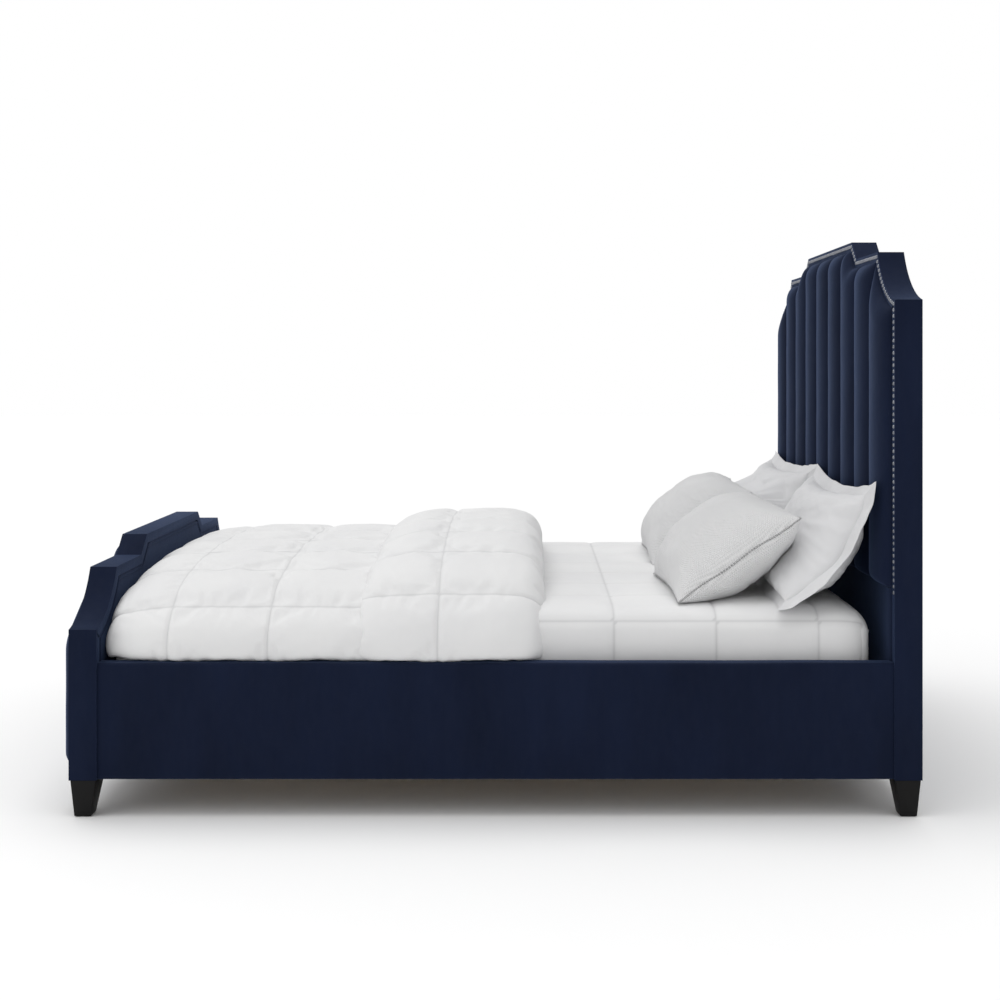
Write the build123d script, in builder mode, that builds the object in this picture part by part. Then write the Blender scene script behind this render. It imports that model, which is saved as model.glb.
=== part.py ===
"""Upholstered bed with stepped, channel-tufted head and foot boards, mattress and bedding.

Millimetres. +X runs from foot to head, +Y across the bed, +Z up. The origin is on the floor at the
centre of the footprint. Every cover, pad, board, leg, bracket and fastener is its own piece.
"""

import os
from math import cos, radians, sin

from build123d import *

# Mattress; the frame is built round it
mattress_width = 1524.0
mattress_length = 2020.0  # a standard 2032 mattress measures about this
mattress_height = 265.0
mattress_corner = 60.0
mattress_edge = 28.0
mattress_side_gap = 7.5
mattress_head_gap = 36.0  # lets it lift past the channels
mattress_foot_gap = 16.0

# Side rail
rail_inset = 6.0  # behind the side faces of the boards
rail_thickness = 50.0
rail_height = 303.0
rail_core_thickness = 25.0
rail_core_margin = 14.0  # padding above and below the core
rail_round = 9.0

# Overall
bed_width = mattress_width + 2 * (mattress_side_gap + rail_thickness + rail_inset)
inner_length = mattress_length + mattress_head_gap + mattress_foot_gap  # between the two boards
board_thickness = 72.0
leg_height = 97.0  # floor to the underside of the upholstery
head_side_top = 1345.0  # top of the straight side edges
foot_side_top = 488.0

# Stepped outline, measured in from each side edge
shelf_start = 186.0
riser_foot = 436.0
riser_head = 498.0
curve_rise = 138.0
curve_sag = 27.0
riser_rise = 53.0

# Upholstery
border_width = 27.0
channel_count = 9
channel_crest = 34.0  # how far the channels stand out of the border
valley_depth = 3.0  # how far the seams between channels lie behind the border's face
channel_base = 14.0  # depth of the pads' seat behind the border's face
head_panel_bottom = 590.0
cover_gap = 0.5  # between neighbouring pads and covers
back_cover_thickness = 10.0
nail_pitch = 16.0
nail_radius = 5.5
nail_rise = 3.0
nail_shank_size = 1.6
nail_hole_radius = 1.3
nail_shank_length = 10.0
nail_inset = 13.0
nail_bottom = 572.0

# Board frame
ply_thickness = 18.0
stud_width = 90.0
crossrail_height = 70.0

# Slat deck
ledge_width = 25.0
ledge_height = 30.0
slat_top = 262.0
slat_thickness = 18.0
slat_width = 70.0
slat_count = 13
slat_bearing = 20.0  # how much of each slat end lies on its ledge
strap_width = 25.0
strap_thickness = 1.5
strap_offset = 380.0

# Centre support
beam_width = 60.0
beam_height = 60.0
hanger_gauge = 3.0
hanger_reach = 45.0
hanger_flange = 35.0
centre_leg_size = 45.0
centre_leg_offset = 520.0
centre_leg_bottom = 10.5
foot_disc_radius = 19.0
foot_disc_height = 10.0
stem_radius = 4.0
stem_length = 40.0
stem_clearance = 0.08
stem_spare = 5.0  # bore depth beyond the stem's end

# Corner legs
leg_top_x = 66.0
leg_top_y = 86.0
leg_foot = 44.0
leg_outer_taper = 8.0
leg_setback_x = 4.0
leg_setback_y = 1.0
glide_size = 36.0
glide_thickness = 2.0
leg_bolt_radius = 4.0
leg_bolt_length = 70.0
leg_bolt_in_leg = 30.0
bolt_clearance = 0.1

# Rail brackets and screws
bracket_gauge = 3.0
bracket_height = 80.0
bracket_bottom = 122.0
bracket_on_rail = 60.0
bracket_on_board = 44.0
bracket_bolt_radius = 4.0
bracket_bolt_grip = 24.0
bracket_head_radius = 7.0
bracket_head_height = 5.0
screw_radius = 2.5
screw_length = 40.0
screw_head_radius = 5.0
screw_head_height = 3.0
ledge_screw_count = 5

# Bedding
bedding_gap = 1.0
comforter_thickness = 90.0
comforter_drop_gap = 2.5  # over the rail
comforter_side = 36.0
comforter_foot = 16.0
comforter_round = 60.0
fold_head = 142.0  # where the folded-back roll ends
fold_length = 477.0
fold_thickness = 64.0
fold_round = 52.0

# Pillows: tilt of the face from level, width across the bed, height up the face, and the centre's
# distance from the headboard's face, above the mattress and in from the mattress's side
front_tilt = 36.0
front_width = 530.0
front_height = 385.0
front_half_thickness = 98.0
front_from_head = 393.0
front_lift = 123.0
near_front_inset = 332.0
far_front_inset = 422.0
rear_tilt = 53.0
rear_width = 680.0
rear_height = 340.0
rear_half_thickness = 65.0
rear_from_head = 169.0
rear_lift = 161.0
near_rear_inset = 364.0
far_rear_inset = 384.0
flange_width = 45.0
flange_thickness = 4.0
pillow_gap = 1.5
pillow_end_round = 40.0

# Places worked out from the values above
half_width = bed_width / 2
total_length = inner_length + 2 * board_thickness + channel_crest
head_face = total_length / 2 - board_thickness
head_back = total_length / 2
foot_face = -total_length / 2 + channel_crest
foot_inner = foot_face + board_thickness
channel_pitch = (bed_width - 2 * border_width) / channel_count
foot_panel_bottom = leg_height + border_width
rail_outer = half_width - rail_inset
rail_inner = rail_outer - rail_thickness
rail_top = leg_height + rail_height
slat_bottom = slat_top - slat_thickness
slat_half_length = rail_inner - ledge_width + slat_bearing
beam_bottom = slat_bottom - beam_height
mattress_top = slat_top + mattress_height
mattress_head = head_face - mattress_head_gap
mattress_centre = mattress_head - mattress_length / 2
ply_start = channel_base
stud_start = ply_start + ply_thickness
cover_start = board_thickness - back_cover_thickness

os.makedirs("parts", exist_ok=True)


def write(part, name):
    part.label = name
    export_step(part, f"parts/{name}.step")


def stepped_outline(side_top):
    """Front view of a board: straight sides, a hollow curve, a shelf and a raised middle."""
    shelf = side_top + curve_rise
    with BuildSketch() as sketch:
        with BuildLine():
            Line((0, leg_height), (half_width, leg_height))
            Line((half_width, leg_height), (half_width, side_top))
            SagittaArc((half_width, side_top), (half_width - shelf_start, shelf), curve_sag)
            Polyline(
                (half_width - shelf_start, shelf),
                (half_width - riser_foot, shelf),
                (half_width - riser_head, shelf + riser_rise),
                (0, shelf + riser_rise),
            )
            mirror(about=Plane.YZ)
        make_face()
    return sketch.sketch


def inset_outline(outline, distance):
    with BuildSketch() as sketch:
        add(outline)
        offset(amount=-distance, kind=Kind.INTERSECTION, mode=Mode.REPLACE)
    return sketch.sketch


def cylinder_along(axis_dir, start, radius, length):
    """A cylinder from start along an axis, for a shank or the hole that it needs."""
    with BuildPart() as rod:
        with BuildSketch(Plane(origin=start, z_dir=axis_dir)):
            Circle(radius)
        extrude(amount=length)
    return rod.part


def leg_centre(end, side):
    """Middle of a leg's top, seen from above. end is +1 at the head, side is +1 on the left."""
    outer = head_back if end > 0 else -foot_face
    x = end * (outer - leg_setback_x - leg_top_x / 2)
    return x, side * (half_width - leg_setback_y - leg_top_y / 2)


def leg_bolt_place(end, side):
    """The bolt stands over the leg's foot, where the leg is thick all the way down."""
    x, y = leg_centre(end, side)
    shift_x = (leg_top_x - leg_foot) / 2 - leg_outer_taper
    shift_y = (leg_top_y - leg_foot) / 2 - leg_outer_taper
    return x + end * shift_x, y + side * shift_y


corners = [(1, 1), (1, -1), (-1, 1), (-1, -1)]
corner_names = {(1, 1): "head_left", (1, -1): "head_right", (-1, 1): "foot_left", (-1, -1): "foot_right"}
side_names = {1: "left", -1: "right"}
leg_bolts = [
    cylinder_along(
        (0, 0, 1), (*leg_bolt_place(*c), leg_height - leg_bolt_in_leg), leg_bolt_radius, leg_bolt_length
    )
    for c in corners
]
leg_bolt_holes = [
    cylinder_along(
        (0, 0, 1),
        (*leg_bolt_place(*c), leg_height - leg_bolt_in_leg),
        leg_bolt_radius + bolt_clearance,
        leg_bolt_length,
    )
    for c in corners
]


def bracket_bolt_starts(end, side):
    """Where the bolts of one bracket pass its leaves: two into the board, two into the rail."""
    board_x = head_face if end > 0 else foot_inner
    heights = (bracket_bottom + bracket_height * 0.25, bracket_bottom + bracket_height * 0.75)
    into_board = [((end, 0, 0), (board_x, side * (rail_inner - bracket_on_board * 0.6), z)) for z in heights]
    into_rail = [((0, side, 0), (board_x - end * bracket_on_rail * 0.6, side * rail_inner, z)) for z in heights]
    return into_board + into_rail


def shifted(start, direction, distance):
    return tuple(s + d * distance for s, d in zip(start, direction))


bracket_starts = {c: bracket_bolt_starts(*c) for c in corners}
bolt_holes = [
    cylinder_along(
        direction,
        shifted(start, direction, -bracket_gauge),
        bracket_bolt_radius + bolt_clearance,
        bracket_gauge + bracket_bolt_grip,
    )
    for starts in bracket_starts.values()
    for direction, start in starts
]
screw_span = inner_length - 2 * bracket_on_rail
ledge_screw_starts = [
    (
        (0, side, 0),
        (
            foot_inner + bracket_on_rail + screw_span * (i + 0.5) / ledge_screw_count,
            side * (rail_inner - ledge_width),
            slat_bottom - ledge_height / 2,
        ),
    )
    for side in (1, -1)
    for i in range(ledge_screw_count)
]
screw_holes = [
    cylinder_along(direction, start, screw_radius + bolt_clearance, screw_length)
    for direction, start in ledge_screw_starts
]


def make_border(name, face_x, outline, nail_spots=()):
    """Padded band that runs round a board and forms its edges."""
    with BuildPart() as border:
        with BuildSketch(Plane.YZ.offset(face_x)):
            add(outline)
        extrude(amount=board_thickness)
        with BuildSketch(Plane.YZ.offset(face_x)):
            add(inset_outline(outline, border_width))
        extrude(amount=board_thickness, mode=Mode.SUBTRACT)
        add(leg_bolt_holes, mode=Mode.SUBTRACT)
        if nail_spots:
            with BuildSketch(Plane.YZ.offset(face_x)):
                with Locations(*nail_spots):
                    Circle(nail_hole_radius)
            extrude(amount=nail_shank_length + cover_gap, mode=Mode.SUBTRACT)
    write(border.part, name)


def make_ply(name, face_x, outline):
    """Plywood sheet with the board's stepped outline; it carries the pads."""
    with BuildPart() as ply:
        with BuildSketch(Plane.YZ.offset(face_x + ply_start)):
            add(inset_outline(outline, border_width + cover_gap))
        extrude(amount=ply_thickness)
        add(bolt_holes, mode=Mode.SUBTRACT)
        add(leg_bolt_holes, mode=Mode.SUBTRACT)
    write(ply.part, name)


def make_studs(name, face_x, side_top):
    """Two uprights and three cross rails behind the plywood."""
    bottom = leg_height + border_width + cover_gap
    upright_height = side_top - border_width - cover_gap - bottom
    upright_y = half_width - border_width - cover_gap - stud_width / 2
    span = 2 * (upright_y - stud_width / 2 - cover_gap)
    depth = cover_start - stud_start
    middle = (bottom + side_top) / 2
    levels = (
        bottom + crossrail_height / 2,
        middle,
        side_top - border_width - cover_gap - crossrail_height / 2,
    )
    with BuildPart() as studs:
        with BuildSketch(Plane.YZ.offset(face_x + stud_start)):
            with Locations((upright_y, bottom + upright_height / 2), (-upright_y, bottom + upright_height / 2)):
                Rectangle(stud_width, upright_height)
            with Locations(*[(0, z) for z in levels]):
                Rectangle(span, crossrail_height)
        extrude(amount=depth)
        add(leg_bolt_holes, mode=Mode.SUBTRACT)
        add(bolt_holes, mode=Mode.SUBTRACT)
    write(studs.part, name)


def make_back_cover(name, face_x, outline):
    """Thin padded panel on the plain side of a board."""
    with BuildPart() as cover:
        with BuildSketch(Plane.YZ.offset(face_x + cover_start)):
            add(inset_outline(outline, border_width + cover_gap))
        extrude(amount=back_cover_thickness)
        add(bolt_holes, mode=Mode.SUBTRACT)
        add(leg_bolt_holes, mode=Mode.SUBTRACT)
    write(cover.part, name)


def make_channels(board, face_x, outline, panel_bottom):
    """Vertical padded channels; each is crowned across its width and ends at the border."""
    panel = inset_outline(outline, border_width + cover_gap)
    top = 2 * head_side_top
    valley_x = face_x + valley_depth
    crest_x = face_x - channel_crest
    base_x = face_x + channel_base
    for i in range(channel_count):
        low = -half_width + border_width + i * channel_pitch + cover_gap / 2
        high = low + channel_pitch - cover_gap
        with BuildPart() as channel:
            with BuildSketch(Plane.XY.offset(panel_bottom + cover_gap)):
                with BuildLine():
                    ThreePointArc((valley_x, low), (crest_x, (low + high) / 2), (valley_x, high))
                    Polyline((valley_x, high), (base_x, high), (base_x, low), (valley_x, low))
                make_face()
            extrude(amount=top)
            with BuildSketch(Plane.YZ.offset(crest_x)):
                add(panel)
            extrude(amount=channel_crest + channel_base, mode=Mode.INTERSECT)
        write(channel.part, f"{board}_channel_{i + 1}")


def make_lower_pad():
    """Plain padded area of the headboard below the channels."""
    height = head_panel_bottom - cover_gap - foot_panel_bottom - cover_gap
    with BuildPart() as pad:
        with BuildSketch(Plane.YZ.offset(head_face)):
            with Locations((0, foot_panel_bottom + cover_gap + height / 2)):
                Rectangle(bed_width - 2 * (border_width + cover_gap), height)
        extrude(amount=channel_base)
        add(bolt_holes, mode=Mode.SUBTRACT)
    write(pad.part, "headboard_lower_pad")


def nail_places(outline):
    """Evenly spaced points along the border's middle line, from one side's lower end to the other's."""
    line = inset_outline(outline, nail_inset).faces()[0].outer_wire()
    edges = [e for e in line.edges() if e.center().Y > nail_bottom]
    side_edges = [e for e in edges if abs(e.tangent_at(0).X) < 1e-6]
    upper_edges = [e for e in edges if abs(e.tangent_at(0).X) >= 1e-6]
    places = []
    for edge in upper_edges:
        count = max(2, round(edge.length / nail_pitch))
        places += [edge.position_at(i / count) for i in range(count)]
    for edge in side_edges:
        x = edge.center().X
        top = max(v.Y for v in edge.vertices())
        count = int((top - nail_bottom) / nail_pitch)
        places += [Vector(x, top - i * nail_pitch) for i in range(count + 1)]
    kept = []
    for p in places:
        if all((p - q).length > nail_pitch * 0.7 for q in kept):
            kept.append(p)
    return [(p.X, p.Y) for p in kept]


def make_nail_trim(nail_spots):
    """Domed nail heads with their shanks, in a row round the headboard's face."""
    with BuildPart() as nail:
        with BuildSketch(Plane.XZ):
            with BuildLine():
                crown = (nail_radius * 0.42, nail_rise)
                shoulder = (nail_radius * 0.82, nail_rise * 0.6)
                Polyline((0, 0), (0, nail_rise), crown, shoulder, (nail_radius, 0), close=True)
            make_face()
        revolve(axis=Axis.Z)
        with BuildSketch():
            Rectangle(nail_shank_size, nail_shank_size)
        extrude(amount=-nail_shank_length)
    face_plane = Plane(origin=(head_face, 0, 0), x_dir=(0, 1, 0), z_dir=(-1, 0, 0))
    with BuildPart() as trim:
        with Locations(face_plane):
            with Locations(*[(y, -z) for y, z in nail_spots]):
                add(nail.part)
    write(trim.part, "headboard_nail_trim")


def make_board(board, face_x, side_top, panel_bottom, nailed):
    outline = stepped_outline(side_top)
    nail_spots = nail_places(outline) if nailed else ()
    make_border(f"{board}_border", face_x, outline, nail_spots)
    make_ply(f"{board}_plywood", face_x, outline)
    make_studs(f"{board}_studs", face_x, side_top)
    make_back_cover(f"{board}_plain_cover", face_x, outline)
    make_channels(board, face_x, outline, panel_bottom)
    if nailed:
        make_nail_trim(nail_spots)


def make_side_rail(side):
    """Padded rail: a wooden core inside an upholstered sleeve, with a ledge for the slats."""
    name = side_names[side]
    length_centre = (head_face + foot_inner) / 2
    core_height = rail_height - 2 * rail_core_margin
    middle_z = leg_height + rail_height / 2
    middle_y = side * (rail_outer + rail_inner) / 2
    section = Plane.YZ.offset(length_centre)
    with BuildPart() as core:
        with BuildSketch(section):
            with Locations((middle_y, middle_z)):
                Rectangle(rail_core_thickness, core_height)
        extrude(amount=inner_length / 2, both=True)
        add(bolt_holes, mode=Mode.SUBTRACT)
        add(screw_holes, mode=Mode.SUBTRACT)
    write(core.part, f"side_rail_core_{name}")
    with BuildPart() as cover:
        with BuildSketch(section):
            with Locations((middle_y, middle_z)):
                RectangleRounded(rail_thickness, rail_height, rail_round)
                Rectangle(
                    rail_core_thickness + cover_gap, core_height + cover_gap, mode=Mode.SUBTRACT
                )
        extrude(amount=inner_length / 2, both=True)
        add(bolt_holes, mode=Mode.SUBTRACT)
        add(screw_holes, mode=Mode.SUBTRACT)
    write(cover.part, f"side_rail_cover_{name}")
    with BuildPart() as ledge:
        with BuildSketch(section):
            with Locations((side * (rail_inner - ledge_width / 2), slat_bottom - ledge_height / 2)):
                Rectangle(ledge_width, ledge_height)
        extrude(amount=inner_length / 2, both=True)
        add(screw_holes, mode=Mode.SUBTRACT)
    write(ledge.part, f"slat_ledge_{name}")


def make_bracket(end, side):
    """Steel angle in the corner between a rail and a board."""
    board_x = head_face if end > 0 else foot_inner
    near, far = board_x, board_x - end * bracket_on_rail
    with BuildPart() as bracket:
        with BuildSketch(Plane.XY.offset(bracket_bottom)):
            with BuildLine():
                Polyline(
                    (near, side * rail_inner),
                    (far, side * rail_inner),
                    (far, side * (rail_inner - bracket_gauge)),
                    (near - end * bracket_gauge, side * (rail_inner - bracket_gauge)),
                    (near - end * bracket_gauge, side * (rail_inner - bracket_on_board)),
                    (near, side * (rail_inner - bracket_on_board)),
                    close=True,
                )
            make_face()
        extrude(amount=bracket_height)
        add(bolt_holes, mode=Mode.SUBTRACT)
    write(bracket.part, f"rail_bracket_{corner_names[(end, side)]}")


def headed_bolt(direction, start, radius, length, head_radius, head_height):
    """A shank along direction from start, with its head on the near side."""
    with BuildPart() as bolt:
        with BuildSketch(Plane(origin=start, z_dir=direction)):
            Circle(radius)
        extrude(amount=length)
        with BuildSketch(Plane(origin=start, z_dir=tuple(-d for d in direction))):
            Circle(head_radius)
        extrude(amount=head_height)
    return bolt.part


def make_fasteners():
    with BuildPart() as bolts:
        for starts in bracket_starts.values():
            for direction, start in starts:
                add(
                    headed_bolt(
                        direction,
                        shifted(start, direction, -bracket_gauge),
                        bracket_bolt_radius,
                        bracket_gauge + bracket_bolt_grip - cover_gap,
                        bracket_head_radius,
                        bracket_head_height,
                    )
                )
    write(bolts.part, "bracket_bolts")
    with BuildPart() as screws:
        for direction, start in ledge_screw_starts:
            add(
                headed_bolt(
                    direction, start, screw_radius, screw_length - cover_gap, screw_head_radius, screw_head_height
                )
            )
    write(screws.part, "ledge_screws")
    with BuildPart() as studs:
        add(leg_bolts)
    write(studs.part, "leg_bolts")


def make_leg(end, side):
    """Square leg that tapers a little on its outer faces and more on its inner ones."""
    x, y = leg_centre(end, side)
    shift_x = end * ((leg_top_x - leg_foot) / 2 - leg_outer_taper)
    shift_y = side * ((leg_top_y - leg_foot) / 2 - leg_outer_taper)
    with BuildPart() as leg:
        with BuildSketch(Plane.XY.offset(leg_height)):
            with Locations((x, y)):
                Rectangle(leg_top_x, leg_top_y)
        with BuildSketch(Plane.XY.offset(glide_thickness)):
            with Locations((x + shift_x, y + shift_y)):
                Rectangle(leg_foot, leg_foot)
        loft(ruled=True)
        add(leg_bolt_holes, mode=Mode.SUBTRACT)
    write(leg.part, f"leg_{corner_names[(end, side)]}")


def make_glides():
    with BuildPart() as glides:
        with BuildSketch():
            with Locations(*[leg_bolt_place(*c) for c in corners]):
                RectangleRounded(glide_size, glide_size, glide_thickness)
        extrude(amount=glide_thickness)
    write(glides.part, "leg_glides")


def make_centre_support():
    with BuildPart() as beam:
        with BuildSketch(Plane.YZ.offset((head_face + foot_inner) / 2)):
            with Locations((0, slat_bottom - beam_height / 2)):
                Rectangle(beam_width, beam_height)
        extrude(amount=inner_length / 2 - hanger_gauge, both=True)
    write(beam.part, "centre_beam")
    with BuildPart() as hangers:
        for end, x in ((1, head_face), (-1, foot_inner)):
            plate = Plane.YZ.offset(x - end * hanger_gauge)
            with BuildSketch(plate):
                with Locations((0, slat_bottom - (beam_height + hanger_gauge) / 2)):
                    Rectangle(beam_width + 2 * (hanger_gauge + hanger_flange), beam_height + hanger_gauge)
            extrude(amount=end * hanger_gauge)
            with BuildSketch(plate):
                with Locations((0, slat_bottom - (beam_height + hanger_gauge) / 2)):
                    Rectangle(beam_width + 2 * hanger_gauge, beam_height + hanger_gauge)
                with Locations((0, slat_bottom - beam_height / 2)):
                    Rectangle(beam_width, beam_height, mode=Mode.SUBTRACT)
            extrude(amount=-end * hanger_reach)
    write(hangers.part, "beam_hangers")
    for i, x in enumerate((centre_leg_offset, -centre_leg_offset)):
        with BuildPart() as leg:
            with BuildSketch(Plane.XY.offset(centre_leg_bottom)):
                with Locations((x, 0)):
                    Rectangle(centre_leg_size, centre_leg_size)
            extrude(amount=beam_bottom - centre_leg_bottom)
            with BuildSketch(Plane.XY.offset(centre_leg_bottom)):
                with Locations((x, 0)):
                    Circle(stem_radius + stem_clearance)
            extrude(amount=stem_length + stem_spare, mode=Mode.SUBTRACT)
        write(leg.part, f"centre_leg_{i + 1}")
        with BuildPart() as foot:
            with BuildSketch():
                with Locations((x, 0)):
                    Circle(foot_disc_radius)
            extrude(amount=foot_disc_height)
            chamfer(foot.edges().sort_by(Axis.Z)[-1], length=2)
            with BuildSketch(Plane.XY.offset(foot_disc_height)):
                with Locations((x, 0)):
                    Circle(stem_radius)
            extrude(amount=centre_leg_bottom - foot_disc_height + stem_length)
        write(foot.part, f"centre_foot_{i + 1}")


def make_slats():
    first = mattress_centre - mattress_length / 2 + slat_width
    last = mattress_centre + mattress_length / 2 - slat_width
    step = (last - first) / (slat_count - 1)
    with BuildPart() as slats:
        with BuildSketch(Plane.XY.offset(slat_bottom)):
            with Locations(*[(first + i * step, 0) for i in range(slat_count)]):
                Rectangle(slat_width, 2 * slat_half_length)
        extrude(amount=slat_thickness)
    write(slats.part, "slats")
    with BuildPart() as straps:
        with BuildSketch(Plane.XY.offset(slat_bottom - strap_thickness)):
            with Locations((mattress_centre, strap_offset), (mattress_centre, -strap_offset)):
                Rectangle(last - first + slat_width, strap_width)
        extrude(amount=strap_thickness)
    write(straps.part, "slat_straps")


def make_mattress():
    with BuildPart() as mattress:
        with BuildSketch(Plane.XY.offset(slat_top)):
            with Locations((mattress_centre, 0)):
                RectangleRounded(mattress_length, mattress_width, mattress_corner)
        extrude(amount=mattress_height)
        fillet(mattress.faces().sort_by(Axis.Z)[-1].edges(), mattress_edge)
        fillet(mattress.faces().sort_by(Axis.Z)[0].edges(), mattress_edge / 2)
    write(mattress.part, "mattress")


def make_comforter():
    """Quilt over the foot of the bed, with its head end folded back on itself in a roll."""
    foot_x = foot_inner + comforter_foot / 4
    bottom = rail_top + comforter_drop_gap
    top = mattress_top + comforter_thickness
    half_span = mattress_width / 2 + comforter_side
    fold_foot = fold_head - fold_length
    with BuildPart() as comforter:
        with BuildSketch(Plane.XY.offset(bottom)):
            with Locations(((foot_x + fold_head) / 2, 0)):
                Rectangle(fold_head - foot_x, 2 * half_span)
        extrude(amount=top - bottom)
        fillet(comforter.edges().filter_by(Axis.X).sort_by(Axis.Z)[-2:], comforter_round)
        with BuildSketch(Plane.XZ):
            with Locations(((fold_foot + fold_head) / 2, (bottom + top + fold_thickness) / 2)):
                Rectangle(fold_length, top + fold_thickness - bottom)
        extrude(amount=half_span + comforter_round / 4, both=True)
        fillet(comforter.edges().filter_by(Axis.Y).group_by(Axis.Z)[-1].sort_by(Axis.X)[-1], fold_round)
        fillet(comforter.faces().sort_by(Axis.Z)[-1].edges().filter_by(Axis.X), comforter_round)
        with BuildSketch(Plane.XY.offset(slat_top)):
            with Locations((mattress_centre, 0)):
                Rectangle(mattress_length + 2 * bedding_gap, mattress_width + 2 * bedding_gap)
        extrude(amount=mattress_height + bedding_gap, mode=Mode.SUBTRACT)
    write(comforter.part, "comforter")


def pillow_body(centre, tilt, width, height, half_thickness, grow=0.0, flange=0.0):
    """A cushion lying on a slope: rounded along its length, flat where it rests on the mattress."""
    x, y, z = centre
    slope = Plane(
        origin=(x, y, z),
        x_dir=(cos(radians(tilt)), 0, sin(radians(tilt))),
        z_dir=(0, -1, 0),
    )
    with BuildPart() as pillow:
        with BuildSketch(slope):
            SlotOverall(height + 2 * grow, 2 * (half_thickness + grow))
        extrude(amount=width / 2 + grow, both=True)
        fillet(pillow.faces().sort_by(Axis.Y)[0].edges(), pillow_end_round)
        fillet(pillow.faces().sort_by(Axis.Y)[-1].edges(), pillow_end_round)
        if flange:
            with BuildSketch(slope):
                Rectangle(height + 2 * flange, flange_thickness)
            extrude(amount=width / 2 + flange, both=True)
        split(bisect_by=Plane.XY.offset(mattress_top + pillow_gap / 2), keep=Keep.TOP)
    return pillow.part


def make_pillows():
    side_y = mattress_width / 2
    for name, side, front_inset, rear_inset in (
        ("near", -1, near_front_inset, near_rear_inset),
        ("far", 1, far_front_inset, far_rear_inset),
    ):
        place = (head_face - front_from_head, side * (side_y - front_inset), mattress_top + front_lift)
        rear_place = (head_face - rear_from_head, side * (side_y - rear_inset), mattress_top + rear_lift)
        front = pillow_body(place, front_tilt, front_width, front_height, front_half_thickness)
        write(front, f"front_pillow_{name}")
        room = pillow_body(
            place, front_tilt, front_width, front_height, front_half_thickness, grow=pillow_gap
        )
        with BuildPart() as rear:
            add(
                pillow_body(
                    rear_place,
                    rear_tilt,
                    rear_width,
                    rear_height,
                    rear_half_thickness,
                    flange=flange_width,
                )
            )
            add(room, mode=Mode.SUBTRACT)
        write(rear.part, f"rear_pillow_{name}")


make_board("headboard", head_face, head_side_top, head_panel_bottom, nailed=True)
make_lower_pad()
make_board("footboard", foot_face, foot_side_top, foot_panel_bottom, nailed=False)
for rail_side in (1, -1):
    make_side_rail(rail_side)
for corner in corners:
    make_bracket(*corner)
    make_leg(*corner)
make_fasteners()
make_glides()
make_centre_support()
make_slats()
make_mattress()
make_comforter()
make_pillows()
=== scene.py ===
import math

import bmesh
import bpy
import numpy as np
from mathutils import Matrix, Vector, noise
from mathutils.bvhtree import BVHTree


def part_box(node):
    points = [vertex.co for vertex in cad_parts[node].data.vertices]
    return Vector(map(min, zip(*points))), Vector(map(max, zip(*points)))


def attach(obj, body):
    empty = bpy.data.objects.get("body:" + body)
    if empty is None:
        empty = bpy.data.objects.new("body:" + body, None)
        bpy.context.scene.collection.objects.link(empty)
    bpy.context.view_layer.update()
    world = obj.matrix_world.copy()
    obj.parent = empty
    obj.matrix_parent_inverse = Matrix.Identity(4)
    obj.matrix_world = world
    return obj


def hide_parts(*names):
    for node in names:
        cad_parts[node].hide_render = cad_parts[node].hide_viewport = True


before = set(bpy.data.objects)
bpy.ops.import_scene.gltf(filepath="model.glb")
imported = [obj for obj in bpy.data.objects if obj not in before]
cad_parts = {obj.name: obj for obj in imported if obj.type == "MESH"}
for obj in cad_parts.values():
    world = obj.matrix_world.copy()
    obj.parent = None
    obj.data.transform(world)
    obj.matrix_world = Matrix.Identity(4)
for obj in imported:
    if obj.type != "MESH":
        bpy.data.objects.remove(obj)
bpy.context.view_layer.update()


# ---- working with pieces

def toObjectMode():
    if bpy.context.object is not None and bpy.context.mode != "OBJECT":
        bpy.ops.object.mode_set(mode="OBJECT")


def deselectAll():
    toObjectMode()
    bpy.ops.object.select_all(action="DESELECT")


def makeActive(obj):
    deselectAll()
    obj.select_set(True)
    bpy.context.view_layer.objects.active = obj


def namePiece(name):
    obj = bpy.context.object
    obj.name = name
    obj.data.name = name
    return obj


def settle(obj):
    makeActive(obj)
    bpy.ops.object.transform_apply(location=True, rotation=True, scale=True)


def addModifier(obj, kind, **values):
    makeActive(obj)
    mod = obj.modifiers.new(kind.title(), kind)
    for key, value in values.items():
        setattr(mod, key, value)
    bpy.ops.object.modifier_apply(modifier=mod.name)


def bevelCorners(obj, width, segments, angle):
    limit = math.radians(angle)
    addModifier(obj, "BEVEL", width=width, segments=segments, limit_method="ANGLE", angle_limit=limit)


def editPiece(obj):
    makeActive(obj)
    bpy.ops.object.mode_set(mode="EDIT")


def selectFaces(obj, wanted):
    mesh = bmesh.from_edit_mesh(obj.data)
    bpy.ops.mesh.select_all(action="DESELECT")
    bpy.ops.mesh.select_mode(type="FACE")
    for face in mesh.faces:
        if wanted(face):
            face.select_set(True)
    bmesh.update_edit_mesh(obj.data)


def selectEdges(obj, wanted):
    mesh = bmesh.from_edit_mesh(obj.data)
    bpy.ops.mesh.select_all(action="DESELECT")
    bpy.ops.mesh.select_mode(type="EDGE")
    for edge in mesh.edges:
        if wanted(edge):
            edge.select_set(True)
    bmesh.update_edit_mesh(obj.data)


def pullBy(value):
    bpy.ops.mesh.extrude_region_move(TRANSFORM_OT_translate={"value": value})


def selectAll():
    bpy.ops.mesh.select_all(action="SELECT")


def faceOutward():
    selectAll()
    bpy.ops.mesh.normals_make_consistent(inside=False)


def outward(obj):
    editPiece(obj)
    faceOutward()
    toObjectMode()


def mergeClose(obj, gap):
    editPiece(obj)
    selectAll()
    bpy.ops.mesh.remove_doubles(threshold=gap)
    bpy.ops.mesh.normals_make_consistent(inside=False)
    toObjectMode()


def smoothShade(obj, angle=35):
    makeActive(obj)
    bpy.ops.object.shade_smooth_by_angle(angle=math.radians(angle))


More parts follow.
